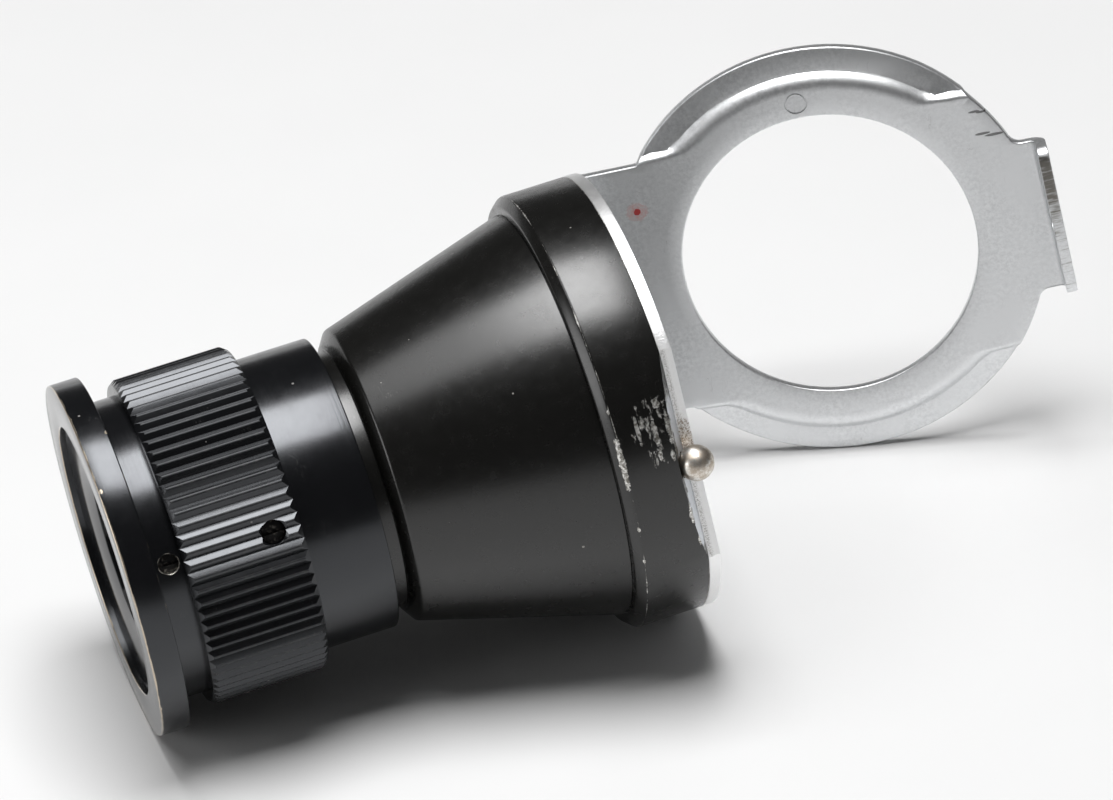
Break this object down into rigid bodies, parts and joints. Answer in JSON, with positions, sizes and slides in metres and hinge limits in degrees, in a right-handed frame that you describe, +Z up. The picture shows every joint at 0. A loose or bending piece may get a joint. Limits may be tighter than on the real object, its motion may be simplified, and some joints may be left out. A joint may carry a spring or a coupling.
{
  "type": "flip-aside eyepiece magnifier",
  "caption": "Tapered black eyepiece magnifier with a ribbed focusing ring, hinged on a stamped steel lug ring with a ball catch, lying on its side with the ring swung open.",
  "frame": {"origin": "under the centre of the part's box, on the table it lies on", "axes": "+X along the barrel from the eyepiece to the lug ring, +Y towards the hinge, +Z up"},
  "size_m": [0.1056, 0.052, 0.0445],
  "materials": {
    "black_anodised": "semi-gloss black anodised",
    "black_enamel": "satin black enamel, worn at the edges",
    "black_inside": "matt black inside",
    "sheet_steel": "dull plated sheet",
    "bright_steel": "tarnished bright plating",
    "screw_steel": "dull",
    "key_brass": "plain",
    "lens_glass": "polished"
  },
  "bodies": {
    "barrel": {"sleeve": "black_anodised", "cone_body": "black_enamel", "base_ring": "black_enamel", "objective_lens": "lens_glass", "objective_retainer": "black_inside", "hinge_plate": "sheet_steel", "plate_screws": "screw_steel", "catch_ball": "bright_steel", "hinge_pin": "bright_steel"},
    "lens_carriage": {"lens_cell": "black_inside", "guide_key": "key_brass", "eye_lens": "lens_glass", "lens_spacer": "black_inside", "inner_lens": "lens_glass", "cell_retainer": "black_inside"},
    "focus_head": {"eyepiece_rim": "black_anodised", "rim_set_screws": "screw_steel", "focus_grip": "black_anodised", "focus_stop_screws": "screw_steel"},
    "swing_ring": {"lug_ring": "sheet_steel"}
  },
  "joints": [
    {"name": "ring_hinge", "type": "hinge", "parent": "barrel", "child": "swing_ring", "pos_m": [0.00506, 0.022, 0.01837], "axis": [-0.0893, 0.1666, 0.982], "range_deg": [-73.1, 32]},
    {"name": "eyepiece_travel", "type": "slide", "parent": "barrel", "child": "lens_carriage", "axis": [0.9959, 0, 0.0906], "range_m": [-0.0015, 0.0015]},
    {"name": "focus_turn", "type": "hinge", "parent": "lens_carriage", "child": "focus_head", "pos_m": [-0.04832, -0.00353, 0.01785], "axis": [0.9959, 0, 0.0906], "range_deg": [-90.1, 90.1]}
  ],
  "couplings": [
    {"joint": "focus_turn", "follows": "eyepiece_travel", "rad_per_m": 1047.2}
  ]
}
